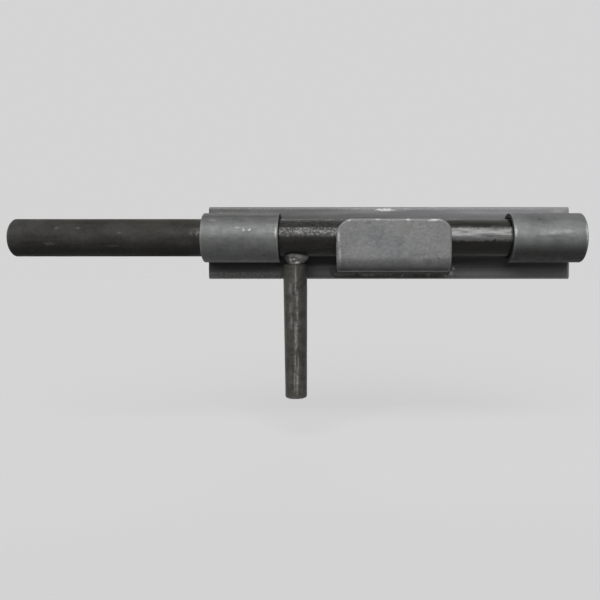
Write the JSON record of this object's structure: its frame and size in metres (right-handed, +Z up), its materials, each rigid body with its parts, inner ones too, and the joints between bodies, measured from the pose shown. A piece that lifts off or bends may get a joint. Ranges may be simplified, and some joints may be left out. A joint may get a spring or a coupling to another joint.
{
  "type": "slide bolt gate latch",
  "caption": "Weld-on slide bolt gate latch: a round bolt runs in pipe guides on a flat plate, and a bent tab blocks its drop handle until the handle is lifted.",
  "frame": {"origin": "centre of the plate's back face, which is welded to the gate", "axes": "+X along the bolt, with the nose at -X; +Y out of the back face, towards the gate; +Z up"},
  "size_m": [0.3818, 0.0409, 0.1307],
  "materials": {
    "plate_steel": "bare hot-rolled flat bar, dull grey",
    "pipe_steel": "bare pipe, satin light grey with pits and scuffs",
    "tab_steel": "bare sheared steel, satin light grey with bright rolled edges",
    "bar_steel": "bare round bar, dark mill scale worn bright in streaks",
    "weld_metal": "rippled weld bead, dark with bright crests"
  },
  "bodies": {
    "base": {"base_plate": "plate_steel", "front_guide_tube": "pipe_steel", "rear_guide_tube": "pipe_steel", "lock_tab": "tab_steel", "tab_weld": "weld_metal", "front_tube_upper_weld": "weld_metal", "front_tube_lower_weld": "weld_metal", "rear_tube_upper_weld": "weld_metal", "rear_tube_lower_weld": "weld_metal"},
    "bolt": {"bolt_rod": "bar_steel"},
    "handle": {"handle": "bar_steel", "handle_weld": "weld_metal"}
  },
  "joints": [
    {"name": "bolt_slide", "type": "slide", "parent": "base", "child": "bolt", "axis": [1, 0, 0], "range_m": [-0.001, 0.0165]},
    {"name": "handle_turn", "type": "hinge", "parent": "bolt", "child": "handle", "pos_m": [-0.0649, -0.02146, 0.0027], "axis": [-1, 0, 0], "range_deg": [-7, 187]}
  ]
}
